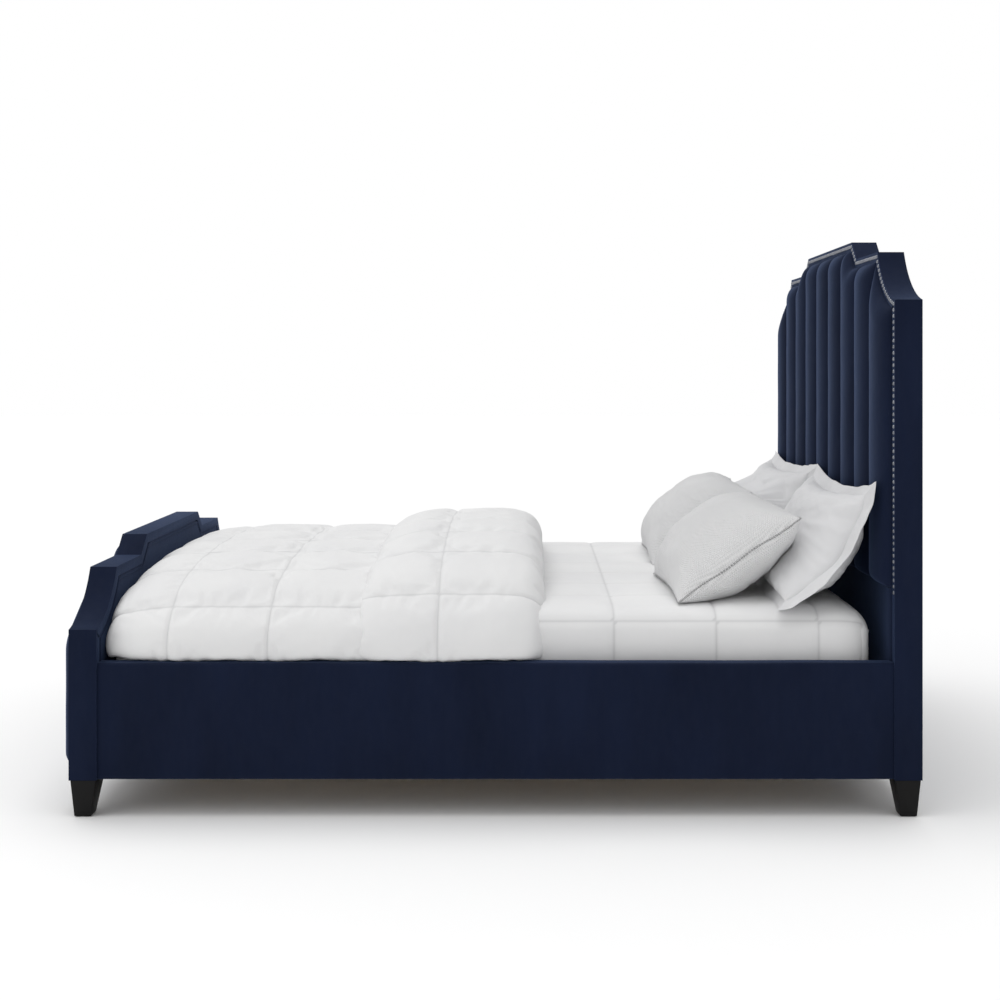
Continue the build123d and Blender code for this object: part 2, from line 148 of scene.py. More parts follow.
def readPoints(obj):
    points = np.zeros(len(obj.data.vertices) * 3, np.float32)
    obj.data.vertices.foreach_get("co", points)
    return points.reshape(-1, 3).astype(float)


def writePoints(obj, points):
    obj.data.vertices.foreach_set("co", np.asarray(points, np.float32).ravel())
    obj.data.update()


def makeTube(name, loop, radius):
    curve = bpy.data.curves.new(name, "CURVE")
    curve.dimensions = "3D"
    curve.bevel_depth = radius
    curve.bevel_resolution = 2
    spline = curve.splines.new("POLY")
    spline.points.add(len(loop) - 1)
    for point, place in zip(spline.points, loop):
        point.co = (*place, 1)
    spline.use_cyclic_u = True
    tube = bpy.data.objects.new(name, curve)
    bpy.context.scene.collection.objects.link(tube)
    makeActive(tube)
    bpy.ops.object.convert(target="MESH")
    return bpy.context.object


def joinPieces(main, *others):
    deselectAll()
    for other in others:
        other.select_set(True)
    main.select_set(True)
    bpy.context.view_layer.objects.active = main
    bpy.ops.object.join()
    return main


def readNormals(obj):
    normals = np.zeros(len(obj.data.vertices) * 3, np.float32)
    obj.data.vertices.foreach_get("normal", normals)
    return normals.reshape(-1, 3)


def writeUv(obj, places):
    layer = obj.data.uv_layers.active or obj.data.uv_layers.new(name="UVMap")
    loops = np.zeros(len(obj.data.loops), np.int32)
    obj.data.loops.foreach_get("vertex_index", loops)
    layer.data.foreach_set("uv", places[loops].astype(np.float32).ravel())


def addBox(name, low, high):
    deselectAll()
    bpy.ops.mesh.primitive_cube_add(size=1, location=(low + high) / 2)
    box = namePiece(name)
    box.scale = high - low
    settle(box)
    return box


def addGrid(name, columns, rows):
    deselectAll()
    bpy.ops.mesh.primitive_grid_add(x_subdivisions=columns, y_subdivisions=rows, size=1)
    grid = namePiece(name)
    settle(grid)
    return grid


def finishPiece(obj, material, body, nodes=()):
    obj.data.materials.clear()
    obj.data.materials.append(material)
    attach(obj, body)
    if nodes:
        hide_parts(*nodes)
    print("made", obj.name, len(obj.data.polygons), "faces")


# ---- materials

def startMaterial(name, roughness, **sockets):
    material = bpy.data.materials.new(name)
    material.use_nodes = True
    tree = material.node_tree
    shader = tree.nodes["Principled BSDF"]
    shader.inputs["Roughness"].default_value = roughness
    for key, value in sockets.items():
        shader.inputs[key.replace("_", " ")].default_value = value
    place = tree.nodes.new("ShaderNodeTexCoord")
    return material, tree, shader, place


def addNoise(tree, vector, scale, detail=3.0, stretch=None):
    if stretch:
        mapping = tree.nodes.new("ShaderNodeMapping")
        mapping.inputs["Scale"].default_value = stretch
        tree.links.new(vector, mapping.inputs["Vector"])
        vector = mapping.outputs["Vector"]
    texture = tree.nodes.new("ShaderNodeTexNoise")
    texture.inputs["Scale"].default_value = scale
    texture.inputs["Detail"].default_value = detail
    tree.links.new(vector, texture.inputs["Vector"])
    return texture.outputs["Fac"]


def addMix(tree, factor, low, high, start=0.3, end=0.7):
    ramp = tree.nodes.new("ShaderNodeValToRGB")
    ramp.color_ramp.elements[0].position = start
    ramp.color_ramp.elements[0].color = (*low, 1)
    ramp.color_ramp.elements[1].position = end
    ramp.color_ramp.elements[1].color = (*high, 1)
    tree.links.new(factor, ramp.inputs["Fac"])
    return ramp.outputs["Color"]


def addRange(tree, factor, low, high):
    node = tree.nodes.new("ShaderNodeMapRange")
    node.inputs["To Min"].default_value = low
    node.inputs["To Max"].default_value = high
    tree.links.new(factor, node.inputs["Value"])
    return node.outputs["Result"]


def addBump(tree, height, strength, distance, normal=None):
    bump = tree.nodes.new("ShaderNodeBump")
    bump.inputs["Strength"].default_value = strength
    bump.inputs["Distance"].default_value = distance
    tree.links.new(height, bump.inputs["Height"])
    if normal is not None:
        tree.links.new(normal, bump.inputs["Normal"])
    return bump.outputs["Normal"]


def addMath(tree, operation, a, b=None):
    node = tree.nodes.new("ShaderNodeMath")
    node.operation = operation
    for socket, value in zip(node.inputs, (a, b)):
        if value is None:
            continue
        if isinstance(value, (int, float)):
            socket.default_value = value
        else:
            tree.links.new(value, socket)
    return node.outputs[0]


velvetLook = {
    "dark": (0.0040, 0.0076, 0.0225),
    "light": (0.0064, 0.0116, 0.0330),
    "napScale": 7.0,
    "pileScale": 700.0,
    "sheenTint": (0.34, 0.52, 1.0, 1),
    "sheen": 0.20,
    "sheenRoughness": 0.38,
}


def makeVelvet():
    look = velvetLook
    material, tree, shader, place = startMaterial(
        "navyVelvet", 0.85,
        Sheen_Weight=look["sheen"], Sheen_Roughness=look["sheenRoughness"], Sheen_Tint=look["sheenTint"],
        Specular_IOR_Level=0.12,
    )
    nap = addNoise(tree, place.outputs["Object"], look["napScale"], 5.0, (1, 1, 0.3))
    tree.links.new(addMix(tree, nap, look["dark"], look["light"]), shader.inputs["Base Color"])
    pile = addNoise(tree, place.outputs["Object"], look["pileScale"], 2.0)
    brushed = addNoise(tree, place.outputs["Object"], 60.0, 4.0, (1, 1, 0.35))
    tree.links.new(addRange(tree, brushed, 0.72, 0.95), shader.inputs["Roughness"])
    normal = addBump(tree, pile, 0.35, 0.0006)
    normal = addBump(tree, brushed, 0.18, 0.0012, normal)
    tree.links.new(normal, shader.inputs["Normal"])
    return material


def makeCotton(name, low, high, weavePitch, weaveDepth, crease):
    material, tree, shader, place = startMaterial(
        name, 0.88, Sheen_Weight=0.12, Sheen_Roughness=0.5, Specular_IOR_Level=0.25
    )
    tone = addNoise(tree, place.outputs["Object"], 5.0, 4.0)
    # painted shade: along the stitch lines the base colour is mixed towards grey (0.30), standing in for the shade in
    # the quilted grooves
    stitchShade = tree.nodes.new("ShaderNodeAttribute")
    stitchShade.attribute_name = "stitchShade"
    line = addMath(tree, "MULTIPLY", addMath(tree, "POWER", stitchShade.outputs["Fac"], 3.0), 0.30)
    shade = tree.nodes.new("ShaderNodeMix")
    shade.data_type = "RGBA"
    colours = [socket for socket in shade.inputs if socket.type == "RGBA"]
    colours[1].default_value = (0.30, 0.30, 0.31, 1)
    tree.links.new(line, shade.inputs["Factor"])
    tree.links.new(addMix(tree, tone, low, high), colours[0])
    mixed = [socket for socket in shade.outputs if socket.type == "RGBA"]
    tree.links.new(mixed[0], shader.inputs["Base Color"])
    split = tree.nodes.new("ShaderNodeSeparateXYZ")
    tree.links.new(place.outputs["UV"], split.inputs["Vector"])
    turn = 2 * math.pi / weavePitch
    across = addMath(tree, "SINE", addMath(tree, "MULTIPLY", split.outputs["X"], turn))
    along = addMath(tree, "SINE", addMath(tree, "MULTIPLY", split.outputs["Y"], turn))
    weave = addMath(tree, "MULTIPLY", across, along)
    normal = addBump(tree, weave, 1.0, weaveDepth)
    crinkle = addNoise(tree, place.outputs["Object"], 22.0, 5.0, (1, 0.6, 1.4))
    normal = addBump(tree, crinkle, crease, 0.004, normal)
    tree.links.new(normal, shader.inputs["Normal"])
    return material


def makeWood(name, low, high, roughness, grain):
    material, tree, shader, place = startMaterial(name, roughness, Specular_IOR_Level=0.18)
    rings = addNoise(tree, place.outputs["Object"], 9.0, 6.0, grain)
    tree.links.new(addMix(tree, rings, low, high), shader.inputs["Base Color"])
    fine = addNoise(tree, place.outputs["Object"], 70.0, 4.0, grain)
    tree.links.new(addRange(tree, fine, roughness - 0.08, roughness + 0.1), shader.inputs["Roughness"])
    tree.links.new(addBump(tree, fine, 0.2, 0.0006), shader.inputs["Normal"])
    return material


def makeMetal(name, low, high, roughness, metallic):
    material, tree, shader, place = startMaterial(name, roughness, Metallic=metallic)
    patch = addNoise(tree, place.outputs["Object"], 35.0, 4.0)
    tree.links.new(addMix(tree, patch, low, high), shader.inputs["Base Color"])
    tree.links.new(addRange(tree, patch, roughness - 0.06, roughness + 0.08), shader.inputs["Roughness"])
    scratch = addNoise(tree, place.outputs["Object"], 400.0, 2.0)
    tree.links.new(addBump(tree, scratch, 0.1, 0.0003), shader.inputs["Normal"])
    return material


def makePlastic(name, low, high, roughness):
    material, tree, shader, place = startMaterial(name, roughness, Specular_IOR_Level=0.5)
    grain = addNoise(tree, place.outputs["Object"], 600.0, 2.0)
    tree.links.new(addMix(tree, grain, low, high), shader.inputs["Base Color"])
    tree.links.new(addBump(tree, grain, 0.25, 0.0003), shader.inputs["Normal"])
    return material


velvet = makeVelvet()
quiltCotton = makeCotton("quiltCotton", (0.77, 0.77, 0.775), (0.81, 0.81, 0.81), 0.0012, 0.00008, 0.30)
coverCotton = makeCotton("coverCotton", (0.78, 0.78, 0.785), (0.82, 0.82, 0.82), 0.0012, 0.00008, 0.16)
waffleCotton = makeCotton("waffleCotton", (0.74, 0.74, 0.745), (0.79, 0.79, 0.795), 0.0068, 0.0011, 0.10)
shamCotton = makeCotton("shamCotton", (0.72, 0.72, 0.73), (0.77, 0.77, 0.78), 0.0012, 0.0001, 0.12)
blackWood = makeWood("blackStainedWood", (0.0028, 0.0028, 0.003), (0.006, 0.0056, 0.0056), 0.5, (1, 1, 0.12))
pineWood = makeWood("pineWood", (0.50, 0.35, 0.19), (0.66, 0.49, 0.29), 0.6, (1, 0.08, 1))
pineLong = makeWood("pineLongWood", (0.50, 0.35, 0.19), (0.66, 0.49, 0.29), 0.6, (0.08, 1, 1))
silverNail = makeMetal("silverNail", (0.20, 0.21, 0.24), (0.30, 0.31, 0.34), 0.34, 1.0)
zincSteel = makeMetal("zincSteel", (0.45, 0.46, 0.48), (0.62, 0.63, 0.65), 0.35, 1.0)
blackSteel = makeMetal("blackSteel", (0.012, 0.012, 0.013), (0.025, 0.025, 0.027), 0.5, 0.0)
blackPlastic = makePlastic("blackPlastic", (0.012, 0.012, 0.012), (0.03, 0.03, 0.03), 0.55)
webbing = makePlastic("strapWebbing", (0.012, 0.012, 0.014), (0.035, 0.035, 0.04), 0.9)
print("materials ready")


# ---- outline of the boards

boardShape = {
    "shelfStart": 0.186, "riserFoot": 0.436, "riserHead": 0.498,
    "curveRise": 0.138, "curveSag": 0.027, "riserRise": 0.053,
    "borderWidth": 0.027, "curveSteps": 12, "edgeRound": 0.0045,
}
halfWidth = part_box("headboard_border")[1].y
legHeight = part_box("headboard_border")[0].z
boards = {}
for board in ("headboard", "footboard"):
    low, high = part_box(board + "_border")
    boards[board] = {
        "frontX": low.x, "backX": high.x,
        "sideTop": high.z - boardShape["curveRise"] - boardShape["riserRise"],
        "panelBottom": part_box(board + "_channel_1")[0].z,
        "crest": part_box(board + "_channel_5")[0].x,
        "coverX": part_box(board + "_plain_cover")[1].x,
    }


def halfOutline(sideTop):
    s = boardShape
    start = np.array((halfWidth, sideTop))
    end = np.array((halfWidth - s["shelfStart"], sideTop + s["curveRise"]))
    chord = end - start
    length = np.linalg.norm(chord)
    radius = (length ** 2 / 4 + s["curveSag"] ** 2) / (2 * s["curveSag"])
    inwards = np.array((-chord[1], chord[0])) / length
    if inwards[1] > 0:
        inwards = -inwards
    centre = (start + end) / 2 - inwards * (radius - s["curveSag"])
    a = math.atan2(*(start - centre)[::-1])
    b = math.atan2(*(end - centre)[::-1])
    turn = (b - a + math.pi) % (2 * math.pi) - math.pi
    points = []
    for i in range(s["curveSteps"] + 1):
        here = a + turn * i / s["curveSteps"]
        points.append(tuple(centre + radius * np.array((math.cos(here), math.sin(here)))))
    shelf = sideTop + s["curveRise"]
    points += [(halfWidth - s["riserFoot"], shelf), (halfWidth - s["riserHead"], shelf + s["riserRise"])]
    return points


def wholeOutline(sideTop, bottom):
    right = [(halfWidth, bottom)] + halfOutline(sideTop)
    return right + [(-y, z) for y, z in reversed(right)]


def distanceTo(points, y, z):
    y, z = np.abs(np.asarray(y, float)), np.asarray(z, float)
    best = np.full(y.shape, 9.0)
    line = list(points) + [(0.0, points[-1][1])]
    for (ay, az), (by, bz) in zip(line[:-1], line[1:]):
        dy, dz = by - ay, bz - az
        t = np.clip(((y - ay) * dy + (z - az) * dz) / (dy * dy + dz * dz), 0, 1)
        best = np.minimum(best, np.hypot(y - ay - t * dy, z - az - t * dz))
    return best


def topHeight(sideTop, inset, y):
    points = halfOutline(sideTop)
    ys = np.array([p[0] for p in reversed(points)])
    zs = np.array([p[1] for p in reversed(points)])
    y = np.abs(np.asarray(y, float))
    ceiling = np.interp(y, ys, zs, left=zs[0])
    levels = np.linspace(-0.16, 0, 330)
    grid = ceiling[:, None] + levels[None, :]
    free = distanceTo(points, np.repeat(y[:, None], len(levels), 1), grid) >= inset - 1e-6
    return np.where(free, grid, -9).max(1)


# ---- velvet border round each board

def makeBorder(board):
    size = boards[board]
    path = [Vector((size["frontX"], y, z)) for y, z in wholeOutline(size["sideTop"], legHeight)]
    deselectAll()
    bpy.ops.mesh.primitive_plane_add(size=0.01, location=path[0])
    border = namePiece(board + "BorderVelvet")
    settle(border)
    editPiece(border)
    selectAll()
    bpy.ops.mesh.merge(type="CENTER")
    bpy.ops.mesh.select_mode(type="VERT")
    selectAll()
    for here, there in zip(path, path[1:] + path[:1]):
        pullBy(there - here)
    selectAll()
    bpy.ops.mesh.remove_doubles(threshold=0.0001)
    selectAll()
    bpy.ops.mesh.edge_face_add()
    pullBy((size["backX"] - size["frontX"], 0, 0))
    faceOutward()
    selectFaces(border, lambda f: abs(abs(f.normal.x) - 1) < 0.01)
    bpy.ops.mesh.inset(thickness=boardShape["borderWidth"], depth=0, use_individual=True)
    bpy.ops.mesh.delete(type="FACE")
    selectEdges(border, lambda e: e.is_boundary)
    bpy.ops.mesh.bridge_edge_loops()
    faceOutward()
    toObjectMode()
    bevelCorners(border, boardShape["edgeRound"], 4, 28)
    smoothShade(border, 30)
    finishPiece(border, velvet, "bed_frame", [board + "_border"])


for board in boards:
    makeBorder(board)


# ---- padded panels: channels, plain pads and back covers

panelInset = 0.0275
channelShape = {
    "count": 9, "columns": 18, "rows": 120, "endRound": 0.055, "sharpness": 2.3, "fullness": 0.56,
    "valley": 0.003, "seat": 0.013,
}
coverShape = {
    "crown": 0.0015, "reach": 0.02, "seat": 0.008, "weltInset": 0.009, "weltRadius": 0.0022, "weltSteps": 121,
}


def makePanel(name, faceX, facing, lowZ, sideTop, seat, profile, columns, rows, flatTop=None):
    panel = addGrid(name, columns, rows)
    points = readPoints(panel)
    u = np.round((points[:, 0] - points[:, 0].min()) / np.ptp(points[:, 0]), 6)
    v = np.round((points[:, 1] - points[:, 1].min()) / np.ptp(points[:, 1]), 6)
    y, proud = profile["across"](u)
    keys = np.unique(np.round(y, 6))
    tops = topHeight(sideTop, panelInset, keys) if flatTop is None else np.full(len(keys), flatTop)
    top = np.interp(y, keys, tops)
    rowPlace = (1 - np.cos(math.pi * v)) / 2
    z = lowZ + rowPlace * (top - lowZ)
    edge = profile["edge"](y, z, lowZ, top)
    depth = proud * edge + profile["seatDepth"] * (1 - edge)
    writePoints(panel, np.column_stack((faceX + facing * depth, y, z)))
    seatX = faceX - facing * seat
    editPiece(panel)
    selectEdges(panel, lambda e: e.is_boundary)
    pullBy((0, 0, 0))
    mesh = bmesh.from_edit_mesh(panel.data)
    for vertex in mesh.verts:
        if vertex.select:
            vertex.co.x = seatX
    bmesh.update_edit_mesh(panel.data)
    bpy.ops.mesh.edge_face_add()
    faceOutward()
    toObjectMode()
    smoothShade(panel, 50)
    return panel


def softEnd(distance, reach):
    x = np.clip(distance / reach, 0, 1)
    return np.sqrt(np.clip(1 - (1 - x) ** 2, 0, 1))


def channelProfile(sideTop, crest, valley):
    s = channelShape
    width = 2 * halfWidth - 2 * boardShape["borderWidth"] - 0.001
    pitch = width / s["count"]
    outline = halfOutline(sideTop)

    def across(u):
        column = np.round(u * s["count"] * s["columns"]).astype(int)
        channel = np.minimum(column // s["columns"], s["count"] - 1)
        local = (column - channel * s["columns"]) / s["columns"]
        local = 0.5 - 0.5 * np.cos(math.pi * local) * (0.55 + 0.45 * np.abs(np.cos(math.pi * local)))
        y = -width / 2 + (channel + local) * pitch
        swell = np.clip(1 - np.abs(2 * local - 1) ** s["sharpness"], 0, 1) ** s["fullness"]
        return y, -valley + (crest + valley) * swell

    def edge(y, z, lowZ, top):
        fromTop = distanceTo(outline, y, z) - boardShape["borderWidth"]
        soft = softEnd(np.clip(fromTop, 0, 1), s["endRound"])
        soft *= softEnd(z - lowZ, s["endRound"] * 0.55)
        wave = 1 + 0.006 * np.sin(z * 21 + y * 37) + 0.004 * np.sin(z * 47 - y * 19)
        return soft * wave

    return {"across": across, "edge": edge, "seatDepth": -valley}


def flatProfile(sideTop, crown, reach, halfSpan):
    outline = halfOutline(sideTop)

    def across(u):
        y = (2 * (0.5 - 0.5 * np.cos(math.pi * u)) - 1) * halfSpan
        return y, np.full(y.shape, crown)

    def edge(y, z, lowZ, top):
        fromTop = distanceTo(outline, y, z) - boardShape["borderWidth"]
        nearest = np.minimum(np.clip(fromTop, 0, 1), np.clip(z - lowZ, 0, 1))
        nearest = np.minimum(nearest, np.clip(halfSpan - np.abs(y), 0, 1))
        wave = 1 + 0.12 * np.sin(z * 9 + y * 5)
        return softEnd(nearest, reach) * wave

    return {"across": across, "edge": edge, "seatDepth": -0.001}


def makeBoardPads(board):
    size, c = boards[board], coverShape
    crest = size["frontX"] - size["crest"]
    channels = makePanel(
        board + "ChannelVelvet", size["frontX"], -1, size["panelBottom"], size["sideTop"],
        channelShape["seat"],
        channelProfile(size["sideTop"], crest, channelShape["valley"]),
        channelShape["count"] * channelShape["columns"], channelShape["rows"],
    )
    nodes = [f"{board}_channel_{i + 1}" for i in range(channelShape["count"])]
    finishPiece(channels, velvet, "bed_frame", nodes)
    span = halfWidth - boardShape["borderWidth"] - 0.0005
    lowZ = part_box(board + "_plain_cover")[0].z
    cover = makePanel(
        board + "PlainVelvet", size["coverX"] - c["crown"], 1, lowZ, size["sideTop"], c["seat"],
        flatProfile(size["sideTop"], c["crown"], c["reach"], span), 60, 40,
    )
    inset = boardShape["borderWidth"] + c["weltInset"]
    ys = np.linspace(-halfWidth + inset, halfWidth - inset, c["weltSteps"])
    ridge = [(size["coverX"] - 0.001, y, z) for y, z in zip(ys, topHeight(size["sideTop"], inset, ys))]
    floorZ = lowZ + c["weltInset"]
    loop = ridge + [(ridge[0][0], ys[-1], floorZ), (ridge[0][0], ys[0], floorZ)]
    welt = makeTube(board + "Welt", loop, c["weltRadius"])
    cover = joinPieces(cover, welt)
    finishPiece(cover, velvet, "bed_frame", [board + "_plain_cover"])


for board in boards:
    makeBoardPads(board)
padLow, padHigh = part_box("headboard_lower_pad")
lowerPad = makePanel(
    "headboardLowerVelvet", padLow.x, -1, padLow.z, boards["headboard"]["sideTop"], channelShape["seat"],
    flatProfile(boards["headboard"]["sideTop"], 0.005, 0.03, padHigh.y), 60, 24, flatTop=padHigh.z,
)
finishPiece(lowerPad, velvet, "bed_frame", ["headboard_lower_pad"])


# ---- side rails

railShape = {"round": 0.009, "cuts": 40, "wave": 0.0006}


def makeRail(side):
    low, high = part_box(f"side_rail_cover_{side}")
    rail = addBox(f"sideRailVelvet_{side}", low, high)
    editPiece(rail)
    selectEdges(rail, lambda e: abs(e.verts[0].co.x - e.verts[1].co.x) > 0.1)
    bpy.ops.mesh.bevel(offset=railShape["round"], segments=5, affect="EDGES")
    toObjectMode()
    for step in range(1, railShape["cuts"]):
        editPiece(rail)
        selectAll()
        x = low.x + (high.x - low.x) * step / railShape["cuts"]
        bpy.ops.mesh.bisect(plane_co=(x, 0, 0), plane_no=(1, 0, 0))
    toObjectMode()
    points = readPoints(rail)
    inner = (points[:, 0] > low.x + 0.01) & (points[:, 0] < high.x - 0.01)
    wave = np.sin(points[:, 0] * 13) * np.sin(points[:, 0] * 5 + 1) * railShape["wave"]
    points[:, 2] += np.where(inner & (points[:, 2] > high.z - 0.02), wave, 0)
    writePoints(rail, points)
    smoothShade(rail, 40)
    finishPiece(rail, velvet, "bed_frame", [f"side_rail_cover_{side}"])


for side in ("left", "right"):
    makeRail(side)


# ---- corner legs

legShape = {"foot": 0.044, "outerTaper": 0.008, "edge": 0.0016}


def makeLeg(corner):
    low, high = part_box(f"leg_{corner}")
    centre = (low + high) / 2
    headEnd, leftSide = math.copysign(1, centre.x), math.copysign(1, centre.y)
    leg = addBox(f"legWood_{corner}", low, high)
    editPiece(leg)
    selectFaces(leg, lambda f: f.normal.z < -0.9)
    topX, topY = high.x - low.x, high.y - low.y
    middle = (centre.x, centre.y, low.z)
    shrink = (legShape["foot"] / topX, legShape["foot"] / topY, 1)
    bpy.ops.transform.resize(value=shrink, center_override=middle)
    slide = (
        headEnd * ((topX - legShape["foot"]) / 2 - legShape["outerTaper"]),
        leftSide * ((topY - legShape["foot"]) / 2 - legShape["outerTaper"]), 0,
    )
    bpy.ops.transform.translate(value=slide)
    toObjectMode()
    bevelCorners(leg, legShape["edge"], 3, 30)
    smoothShade(leg, 30)
    finishPiece(leg, blackWood, "bed_frame", [f"leg_{corner}"])


for corner in ("head_left", "head_right", "foot_left", "foot_right"):
    makeLeg(corner)


# ---- quilted cloth over the bed: a cross-section swept along it and puffed between its stitch lines

def smoothLine(points, count=600):
    points = np.array(points, float)
    steps = np.r_[0, np.cumsum(np.hypot(*np.diff(points, axis=0).T))]
    dense = np.linspace(0, steps[-1], count)
    padded = np.vstack((2 * points[0] - points[1], points, 2 * points[-1] - points[-2]))
    knots = np.r_[2 * steps[0] - steps[1], steps, 2 * steps[-1] - steps[-2]]
    out = np.zeros((count, 2))
    for i, t in enumerate(dense):
        k = min(max(np.searchsorted(steps, t, side="right") - 1, 0), len(steps) - 2)
        p0, p1, p2, p3 = padded[k:k + 4]
        t0, t1, t2, t3 = knots[k:k + 4]
        m1 = (p2 - p0) / (t2 - t0)
        m2 = (p3 - p1) / (t3 - t1)
        span = t2 - t1
        h = (t - t1) / span
        out[i] = (
            (2 * h**3 - 3 * h**2 + 1) * p1 + (h**3 - 2 * h**2 + h) * span * m1
            + (-2 * h**3 + 3 * h**2) * p2 + (h**3 - h**2) * span * m2
        )
    run = np.r_[0, np.cumsum(np.hypot(*np.diff(out, axis=0).T))]
    return out, run


def spread(stops, target):
    values, isStop = [], []
    for a, b in zip(stops[:-1], stops[1:]):
        count = max(1, round((b - a) / target))
        values += [a + (b - a) * i / count for i in range(count)]
        isStop += [True] + [False] * (count - 1)
    return np.array(values + [stops[-1]]), np.array(isStop + [True])


def sweepCloth(name, section, lengthways, stitchT, stitchX, step, sideEase=-9.0):
    half, run = smoothLine(section)
    whole = np.vstack((half[::-1] * (-1, 1), half[1:]))
    arc = np.r_[-run[::-1], run[1:]]
    limit = run[-1]
    along, alongRun = smoothLine(lengthways, 500)
    tStops = sorted({-limit, limit} | {t for t in stitchT if abs(t) < limit - 0.03})
    sStops = sorted({0.0, alongRun[-1]} | {float(np.interp(x, along[:, 0], alongRun)) for x in stitchX})
    t, tStop = spread(tStops, step)
    s, sStop = spread(sStops, step)
    cloth = addGrid(name, len(s) - 1, len(t) - 1)
    points = readPoints(cloth)
    i = np.round((points[:, 0] + 0.5) * (len(s) - 1)).astype(int)
    j = np.round((points[:, 1] + 0.5) * (len(t) - 1)).astype(int)
    y, z = np.interp(t, arc, whole[:, 0]), np.interp(t, arc, whole[:, 1])
    dy, dz = np.gradient(y, t), np.gradient(z, t)
    size = np.hypot(dy, dz)
    outY, outZ = -dz / size, np.clip(dy / size, 0, 1)
    outY = np.where(dy / size < 0, np.sign(y), outY)  # the tucked hem keeps pointing sideways
    x, sink = np.interp(s, alongRun, along[:, 0]), np.interp(s, alongRun, along[:, 1])
    side = np.clip((np.abs(t[j]) / limit - 0.45) / 0.35, 0, 1)
    ease = np.where(x[i] < sideEase, 1 - 0.72 * side, 1)  # the free edge lies thinner down the side
    place = np.column_stack((x[i], y[j] - outY[j] * sink[i] * ease, z[j] - outZ[j] * sink[i] * ease))
    writePoints(cloth, place)
    writeUv(cloth, np.column_stack((s[i], t[j])))
    stitched = sStop[i] | tStop[j]
    edge = (i == 0) | (i == len(s) - 1) | (j == 0) | (j == len(t) - 1)
    # mask of the stitch lines, which the cotton shader uses to paint shade along the quilted grooves
    stitchShade = cloth.data.attributes.new("stitchShade", "FLOAT", "POINT")
    stitchShade.data.foreach_set("value", (stitched & ~edge).astype(np.float32))
    outward(cloth)
    return cloth, stitched, edge, (s[i], t[j], sStops, tStops)


def puffCloth(cloth, stitched, edge, grow, pressure, cap, frames, stiffness):
    rest = readPoints(cloth)
    pins = cloth.vertex_groups.new(name="stitches")
    pins.add([int(k) for k in np.nonzero(stitched | edge)[0]], 1.0, "REPLACE")
    makeActive(cloth)
    sim = cloth.modifiers.new("Cloth", "CLOTH")
    sim.settings.quality = 6
    sim.settings.mass = 0.25
    sim.settings.tension_stiffness = stiffness
    sim.settings.compression_stiffness = stiffness
    sim.settings.shear_stiffness = stiffness * 0.5
    sim.settings.bending_stiffness = 0.12
    sim.settings.vertex_group_mass = "stitches"
    sim.settings.pin_stiffness = 2.0
    sim.settings.shrink_min = -grow
    sim.settings.use_pressure = True
    sim.settings.uniform_pressure_force = pressure
    sim.settings.effector_weights.gravity = 0
    sim.collision_settings.use_collision = False
    sim.point_cache.frame_start = 1
    sim.point_cache.frame_end = frames
    scene = bpy.context.scene
    for number in range(1, frames + 1):
        scene.frame_set(number)
    bpy.ops.object.modifier_apply(modifier=sim.name)
    scene.frame_set(1)
    moved = readPoints(cloth)
    shift = moved - rest
    size = np.linalg.norm(shift, axis=1, keepdims=True)
    limited = cap * np.tanh(size / cap)
    moved = rest + shift * np.where(size > 1e-9, limited / np.maximum(size, 1e-9), 0)
    moved[stitched | edge] = rest[stitched | edge]
    writePoints(cloth, moved)
    cloth.vertex_groups.clear()


def cellBulge(values, stops):
    stops = np.array(stops)
    k = np.clip(np.searchsorted(stops, values, side="right") - 1, 0, len(stops) - 2)
    f = np.clip((values - stops[k]) / (stops[k + 1] - stops[k]), 0, 1)
    x = np.abs(2 * f - 1)
    broad, groove = np.clip(1 - x**2.4, 0, 1), np.clip(1 - x**14, 0, 1) ** 0.5  # narrow at each stitch
    return 0.35 * broad + 0.65 * groove


def bulgeCloth(cloth, stitchData, height):
    s, t, sStops, tStops = stitchData
    bulge = cellBulge(s, sStops) * cellBulge(t, tStops) * height
    writePoints(cloth, readPoints(cloth) + readNormals(cloth) * bulge[:, None])


def softenCloth(cloth, amount, scale, stretch=(1, 1, 1), seed=0.0):
    points = readPoints(cloth)
    spots = [
        Vector((p[0] * stretch[0] * scale + seed, p[1] * stretch[1] * scale, p[2] * stretch[2] * scale))
        for p in points
    ]
    move = np.array([noise.fractal(spot, 0.8, 2.0, 3) for spot in spots])
    writePoints(cloth, points + readNormals(cloth) * (move * amount)[:, None])


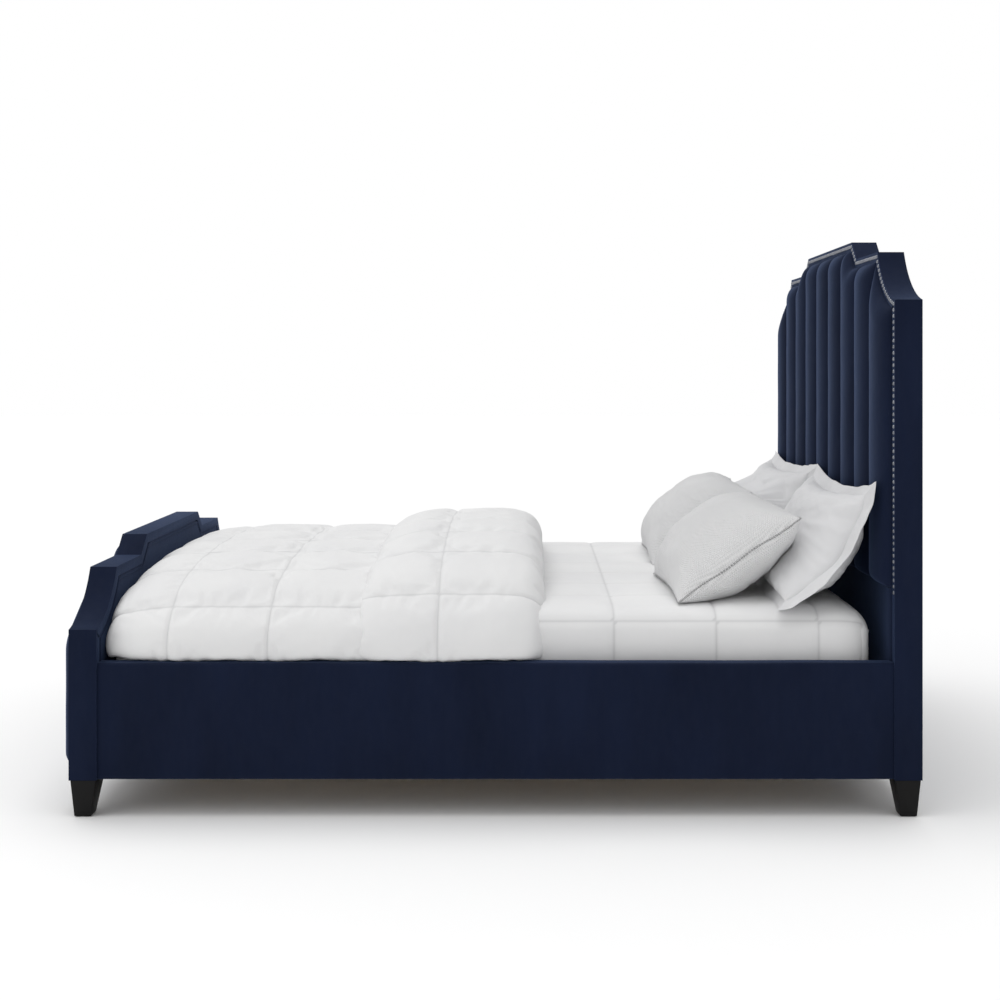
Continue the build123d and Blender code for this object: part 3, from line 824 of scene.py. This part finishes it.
quilt = {
    "creaseDepth": 0.0011, "waveDepth": 0.0016, "bulge": 0.0065, "quickBulge": 0.003, "stiffness": 12,
    "section": [
        (0, 0.628), (0.15, 0.627), (0.30, 0.622), (0.45, 0.610), (0.533, 0.599), (0.60, 0.588), (0.66, 0.573),
        (0.71, 0.551), (0.750, 0.523), (0.782, 0.488), (0.799, 0.455), (0.805, 0.427), (0.802, 0.409),
        (0.79, 0.4022), (0.772, 0.4018),
    ],
    "lengthways": [
        (-1.008, 0.15), (-1.011, 0.10), (-1.009, 0.065), (-0.998, 0.043), (-0.968, 0.026), (-0.92, 0.012),
        (-0.86, 0.003), (-0.80, 0.0), (-0.60, 0.0), (-0.45, 0.0), (-0.34, 0.004), (-0.28, 0.012), (-0.20, 0.02),
    ],
    "foldSection": [
        (0, 0.692), (0.15, 0.690), (0.30, 0.681), (0.45, 0.662), (0.533, 0.649), (0.60, 0.633), (0.66, 0.610),
        (0.71, 0.580), (0.754, 0.543), (0.787, 0.502), (0.805, 0.463), (0.812, 0.430), (0.809, 0.410),
        (0.797, 0.4022), (0.777, 0.4018),
    ],
    "foldLengthways": [
        (-0.346, 0.078), (-0.336, 0.058), (-0.316, 0.040), (-0.282, 0.022), (-0.235, 0.008), (-0.18, 0.001),
        (-0.10, 0.0), (0.02, 0.001), (0.065, 0.006), (0.105, 0.019), (0.129, 0.042), (0.136, 0.075), (0.131, 0.11),
        (0.116, 0.14), (0.09, 0.155),
    ],
    "stitchX": [-0.841, -0.579, -0.317], "foldStitchX": [-0.135],
    "acrossPitch": 0.226, "acrossShift": -0.074,
    "step": 0.0095, "grow": 0.045, "pressure": 0.9, "cap": 0.0075, "frames": 22, "thickness": 0.03,
}
stitchLines = [quilt["acrossShift"] + quilt["acrossPitch"] * k for k in range(-5, 6)]


def makeQuiltPart(name, section, lengthways, stitchX, seed, sideEase=-9.0):
    q = quilt
    cloth, stitched, edge, data = sweepCloth(
        name, q[section], q[lengthways], stitchLines, q[stitchX], q["step"], sideEase
    )
    bulgeCloth(cloth, data, q["bulge"])
    puffCloth(cloth, stitched, edge, q["grow"], q["pressure"], q["cap"], q["frames"], q["stiffness"])
    softenCloth(cloth, q["waveDepth"], 9.0, (1, 1, 1), seed)
    softenCloth(cloth, q["creaseDepth"], 34.0, (1.6, 0.5, 0.45), seed + 5)
    addModifier(cloth, "SOLIDIFY", thickness=q["thickness"], offset=-1, use_even_offset=False)
    addModifier(cloth, "SUBSURF", levels=1, render_levels=1)
    outward(cloth)
    smoothShade(cloth, 80)
    return cloth


for quiltPart in (
    ("comforterQuilt", "section", "lengthways", "stitchX", 1.3),
    ("comforterFold", "foldSection", "foldLengthways", "foldStitchX", 7.7, -0.12),
):
    quiltPiece = makeQuiltPart(*quiltPart)
    finishPiece(quiltPiece, quiltCotton, "comforter", ["comforter"])
print("comforter ready")


# ---- mattress in its quilted cover

bedding = {
    "section": [
        (0, 0.529), (0.30, 0.529), (0.55, 0.5285), (0.66, 0.527), (0.705, 0.524), (0.738, 0.513), (0.756, 0.494),
        (0.7615, 0.46), (0.762, 0.40), (0.762, 0.32), (0.758, 0.285), (0.745, 0.268), (0.72, 0.263),
    ],
    "puff": 0.0055, "step": 0.011, "footGap": 0.006, "headGap": 0.008, "coreGap": 0.0015, "thickness": 0.008,
    "coreHalf": 0.752, "coreBottom": 0.2625, "coreTop": 0.495, "coreRound": 0.03,
    "stitchX": [-0.752, -0.482, -0.212, 0.058, 0.328, 0.598, 0.868],
}
matLow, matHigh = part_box("mattress")
endRound = [
    (0.0, 0.12), (0.0, 0.085), (0.003, 0.055), (0.013, 0.032), (0.030, 0.014), (0.060, 0.004), (0.10, 0.0),
]
bedding["lengthways"] = (
    [(matLow.x + bedding["footGap"] + x, sink) for x, sink in endRound] + [(0.0, 0.0)]
    + [(matHigh.x - bedding["headGap"] - x, sink) for x, sink in reversed(endRound)]
)
mattressTop = 0.529


def makeMattress():
    b = bedding
    lines = [-0.762 + 0.226 * k for k in range(0, 7)] + [0.745, -0.97, 0.97]
    cloth, _, _, data = sweepCloth("mattressCover", b["section"], b["lengthways"], lines, b["stitchX"], b["step"])
    bulgeCloth(cloth, data, b["puff"])
    softenCloth(cloth, 0.0012, 7.0, seed=4.2)
    addModifier(cloth, "SOLIDIFY", thickness=b["thickness"], offset=-1)
    outward(cloth)
    low = Vector((matLow.x + b["footGap"] + b["coreGap"], -b["coreHalf"], b["coreBottom"]))
    high = Vector((matHigh.x - b["headGap"] - b["coreGap"], b["coreHalf"], b["coreTop"]))
    core = addBox("mattressCore", low, high)
    addModifier(core, "BEVEL", width=b["coreRound"], segments=5)
    cloth = joinPieces(cloth, core)
    smoothShade(cloth, 80)
    finishPiece(cloth, coverCotton, "mattress", ["mattress"])


makeMattress()
print("mattress ready")


# ---- pillows

pillowShape = {
    "front_pillow_near": {
        "width": 0.53, "height": 0.400, "front": 0.128, "back": 0.112, "bow": 0.0, "centre": (0.660, -0.430, 0.650),
        "tilt": 34.0, "yaw": 2.0, "flange": 0.0, "slot": "front_pillow_fabric", "seed": 3,
    },
    "front_pillow_far": {
        "width": 0.57, "height": 0.395, "front": 0.124, "back": 0.105, "bow": 0.0, "centre": (0.664, 0.340, 0.650),
        "tilt": 37.0, "yaw": -1.0, "flange": 0.0, "slot": "front_pillow_fabric", "seed": 11,
    },
    "rear_pillow_near": {
        "width": 0.69, "height": 0.352, "front": 0.100, "back": 0.080, "bow": 0.048, "centre": (0.888, -0.398, 0.690),
        "tilt": 53.0, "yaw": 0.0, "flange": 0.045, "slot": "rear_pillow_fabric", "seed": 5,
    },
    "rear_pillow_far": {
        "width": 0.69, "height": 0.352, "front": 0.098, "back": 0.075, "bow": 0.042, "centre": (0.888, 0.378, 0.692),
        "tilt": 53.0, "yaw": 0.0, "flange": 0.045, "slot": "rear_pillow_fabric", "seed": 8,
    },
}


flangeShape = {"rings": 5, "ripple": 0.022, "thickness": 0.004}
trimRadius = {"stitch": 0.0012, "piping": 0.0028}
restGap = {"top": 0.004, "board": 0.002, "blend": 0.004, "between": 0.002}  # between soft pieces that touch


def puckers(u, v, seed):
    around = np.arctan2(v, u)
    edge = np.maximum(np.abs(u), np.abs(v))
    spokes = [Vector((math.cos(a) * 7 + seed, math.sin(a) * 7, e * 0.8)) for a, e in zip(around, edge)]
    rays = np.array([noise.noise(spoke) for spoke in spokes])
    soft = np.array([noise.fractal(Vector((a * 2.1 + seed, b * 2.1, seed)), 0.9, 2.0, 4) for a, b in zip(u, v)])
    corner = (np.abs(u) * np.abs(v)) ** 2
    return rays * (0.25 + 0.75 * edge**3) * (0.006 + 0.010 * corner) + soft * 0.006


def edgePlace(p, u, v):
    sag = np.where(np.asarray(v) > 0, 0.17, 0.05) if p["flange"] else 0.06
    x = u * p["width"] / 2 * (1 - 0.045 * (1 - v**2))
    y = v * p["height"] / 2 * (1 - sag * (1 - u**2))
    return x, y, 0.004 * np.sin(u * 9 + p["seed"]) * np.sin(v * 7 + p["seed"])


def shapePillow(name, p):
    pillow = addGrid(name, 90, 70)
    pillow.scale = (2, 2, 1)
    settle(pillow)
    editPiece(pillow)
    selectAll()
    pullBy((0, 0, 0.01))
    toObjectMode()
    points = readPoints(pillow)
    upper = points[:, 2] > 0.005
    u, v = np.sin(points[:, 0] * math.pi / 2), np.sin(points[:, 1] * math.pi / 2)
    edge = np.maximum(np.abs(u), np.abs(v)) > 0.99999
    full = np.clip((1 - np.abs(u) ** 2.6) * (1 - np.abs(v) ** 2.6), 0, 1) ** 0.52
    crease = puckers(u, v, p["seed"]) * np.clip(full * 4, 0, 1)
    lift = np.where(upper, p["front"] * full + crease, -p["back"] * full + crease)
    x, y, wander = edgePlace(p, u, v)
    z = np.where(edge, wander, lift) - p["bow"] * (1 - v**2)
    writePoints(pillow, np.column_stack((x, y, z)))
    mergeClose(pillow, 0.00002)
    writeUv(pillow, readPoints(pillow)[:, :2])
    return pillow


def edgeLoop(p, steps=64):
    places = []
    for side in range(4):
        for k in range(steps):
            a = math.sin((-1 + 2 * k / steps) * math.pi / 2)
            u, v = ((a, -1), (1, a), (-a, 1), (-1, -a))[side]
            x, y, wander = edgePlace(p, u, v)
            places.append((x, y, wander - p["bow"] * (1 - v**2)))
    return np.array(places)


def softFloor(values, floor, blend):
    over = (values - floor) / blend
    return floor + blend * np.where(over > 20, over, np.log1p(np.exp(np.clip(over, -40, 20))))


def makePillow(node):
    p = pillowShape[node]
    pillow = shapePillow(node.replace("_", "-"), p)
    tilt, yaw = math.radians(p["tilt"]), math.radians(p["yaw"])
    slope = np.array((math.cos(tilt), 0, math.sin(tilt)))
    normal = np.array((-math.sin(tilt), 0, math.cos(tilt)))
    turn = np.array(((math.cos(yaw), -math.sin(yaw), 0), (math.sin(yaw), math.cos(yaw), 0), (0, 0, 1)))
    basis = np.vstack(((0, -1, 0), slope, normal)) @ turn.T
    writePoints(pillow, readPoints(pillow) @ basis + np.array(p["centre"]))
    outward(pillow)
    return pillow, edgeLoop(p) @ basis + np.array(p["centre"]), basis


def makeFlange(name, loop, basis, width, seed):
    middle = loop.mean(0)
    local = (loop - middle) @ basis.T
    half = np.abs(local).max(0)
    scaleX, scaleY = (half[0] + width) / half[0], (half[1] + width) / half[1]
    flange = addGrid(name, len(loop), flangeShape["rings"])
    points = readPoints(flange)
    i = np.round((points[:, 0] + 0.5) * len(loop)).astype(int) % len(loop)
    r = points[:, 1] + 0.5
    grown = np.column_stack((local[:, 0] * scaleX, local[:, 1] * scaleY, local[:, 2]))
    inside = local * np.array((0.975, 0.96, 1))
    place = inside[i] * (1 - r[:, None]) + grown[i] * r[:, None]
    broad = [noise.noise(Vector((q[0] * 7 + seed, q[1] * 7, 0.3))) for q in grown]
    fine = [noise.noise(Vector((q[0] * 22, q[1] * 22 + seed, 1.7))) for q in grown]
    ripple = np.array(broad) + 0.4 * np.array(fine)
    place[:, 2] += ripple[i] * flangeShape["ripple"] * r**1.3
    writePoints(flange, place @ basis + middle)
    mergeClose(flange, 0.00005)
    addModifier(flange, "SOLIDIFY", thickness=flangeShape["thickness"], offset=0)
    return flange


def pushOut(obj, other, gap):
    tree = BVHTree.FromObject(other, bpy.context.evaluated_depsgraph_get())
    points = readPoints(obj)
    for k, q in enumerate(points):
        hit, normal, _, _ = tree.find_nearest(Vector(q), 0.12)
        if hit is None:
            continue
        away = Vector(q) - hit
        if away.dot(normal) < 0 or away.length < gap:
            points[k] = hit + normal * gap
    writePoints(obj, points)


pillows = {}
for node, p in pillowShape.items():
    pillow, loop, basis = makePillow(node)
    if p["flange"]:
        flange = makeFlange(pillow.name + "-flange", loop, basis, p["flange"], p["seed"])
        stitch = makeTube(pillow.name + "-stitch", loop, trimRadius["stitch"])
        pillow = joinPieces(pillow, flange, stitch)
    else:
        piping = makeTube(pillow.name + "-piping", loop, trimRadius["piping"])
        pillow = joinPieces(pillow, piping)
    points = readPoints(pillow)
    points[:, 2] = softFloor(points[:, 2], mattressTop + restGap["top"], restGap["blend"])
    boardFace = boards["headboard"]["crest"] - restGap["board"]
    points[:, 0] = -softFloor(-points[:, 0], -boardFace, restGap["blend"])
    writePoints(pillow, points)
    pillows[node] = pillow
    print("pillow", node)
for place in ("near", "far"):
    pushOut(pillows["rear_pillow_" + place], pillows["front_pillow_" + place], restGap["between"])
for node, pillow in pillows.items():
    addModifier(pillow, "SUBSURF", levels=1, render_levels=1)
    smoothShade(pillow, 80)
    cloth = waffleCotton if node.startswith("front") else shamCotton
    finishPiece(pillow, cloth, node, [node])


# ---- CAD pieces that stay, with their own finishes

finishes = {
    "headboard_nail_trim": silverNail, "leg_glides": blackPlastic, "leg_bolts": zincSteel,
    "bracket_bolts": zincSteel, "ledge_screws": zincSteel, "beam_hangers": blackSteel,
    "centre_beam": pineLong, "centre_leg_1": pineWood, "centre_leg_2": pineWood, "centre_foot_1": blackPlastic,
    "centre_foot_2": blackPlastic, "slats": pineWood, "slat_straps": webbing, "slat_ledge_left": pineLong,
    "slat_ledge_right": pineLong, "side_rail_core_left": pineLong, "side_rail_core_right": pineLong,
    "headboard_plywood": pineWood, "headboard_studs": pineWood, "footboard_plywood": pineWood,
    "footboard_studs": pineWood,
}
for corner in ("head_left", "head_right", "foot_left", "foot_right"):
    finishes["rail_bracket_" + corner] = blackSteel
for node, material in finishes.items():
    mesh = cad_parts[node].data
    mesh.materials.clear()
    mesh.materials.append(material)


# ---- floor, light and camera

studio = {
    "cameraPlace": (0.1006, -4.5615, 1.171), "lens": 51.85, "shiftX": -0.0278, "shiftY": -0.1334,
    "worldFill": 0.66, "sunStrength": 1.25, "sunSpread": 55,
    "footPower": 16, "footSize": 2.5, "footPlace": (-4.2, -2.4, 2.4), "footAim": (0.9, 0.0, 0.8),
}
deselectAll()
bpy.ops.mesh.primitive_plane_add(size=60, location=(0, 0, 0))
floor = namePiece("studioFloor")
floorMaterial, _, floorShader, _ = startMaterial("paleFloor", 0.9, Specular_IOR_Level=0.1)
floorShader.inputs["Base Color"].default_value = (0.97, 0.97, 0.97, 1)
floor.data.materials.append(floorMaterial)

world = bpy.data.worlds.new("studioWorld")
bpy.context.scene.world = world
world.use_nodes = True
worldNodes = world.node_tree.nodes
background = worldNodes["Background"]
background.inputs["Color"].default_value = (1, 1, 1, 1)
paths = worldNodes.new("ShaderNodeLightPath")
brightness = worldNodes.new("ShaderNodeMapRange")
brightness.inputs["To Min"].default_value = studio["worldFill"]
brightness.inputs["To Max"].default_value = 1.0
world.node_tree.links.new(paths.outputs["Is Camera Ray"], brightness.inputs["Value"])
world.node_tree.links.new(brightness.outputs["Result"], background.inputs["Strength"])


def addObject(name, data, place=(0, 0, 0), turn=(0, 0, 0)):
    item = bpy.data.objects.new(name, data)
    bpy.context.scene.collection.objects.link(item)
    item.location = place
    item.rotation_euler = turn
    return item


footData = bpy.data.lights.new("footLight", "AREA")
footData.shape = "RECTANGLE"
footData.size = footData.size_y = studio["footSize"]
footData.energy = studio["footPower"]
footPlace, footAim = Vector(studio["footPlace"]), Vector(studio["footAim"])
addObject("footLight", footData, footPlace, (footAim - footPlace).to_track_quat("-Z", "Y").to_euler())
sunData = bpy.data.lights.new("skyLight", "SUN")
sunData.energy = studio["sunStrength"]
sunData.angle = math.radians(studio["sunSpread"])
addObject("skyLight", sunData, turn=(math.radians(-6), math.radians(-8), 0))

cameraData = bpy.data.cameras.new("camera")
cameraData.lens = studio["lens"]
cameraData.sensor_width = 36
cameraData.shift_x = studio["shiftX"]
cameraData.shift_y = studio["shiftY"]
camera = addObject("camera", cameraData, studio["cameraPlace"], (math.radians(90), 0, 0))
bpy.context.scene.camera = camera
bpy.context.scene.view_settings.view_transform = "Standard"
bpy.context.scene.view_settings.look = "None"
print("studio ready")
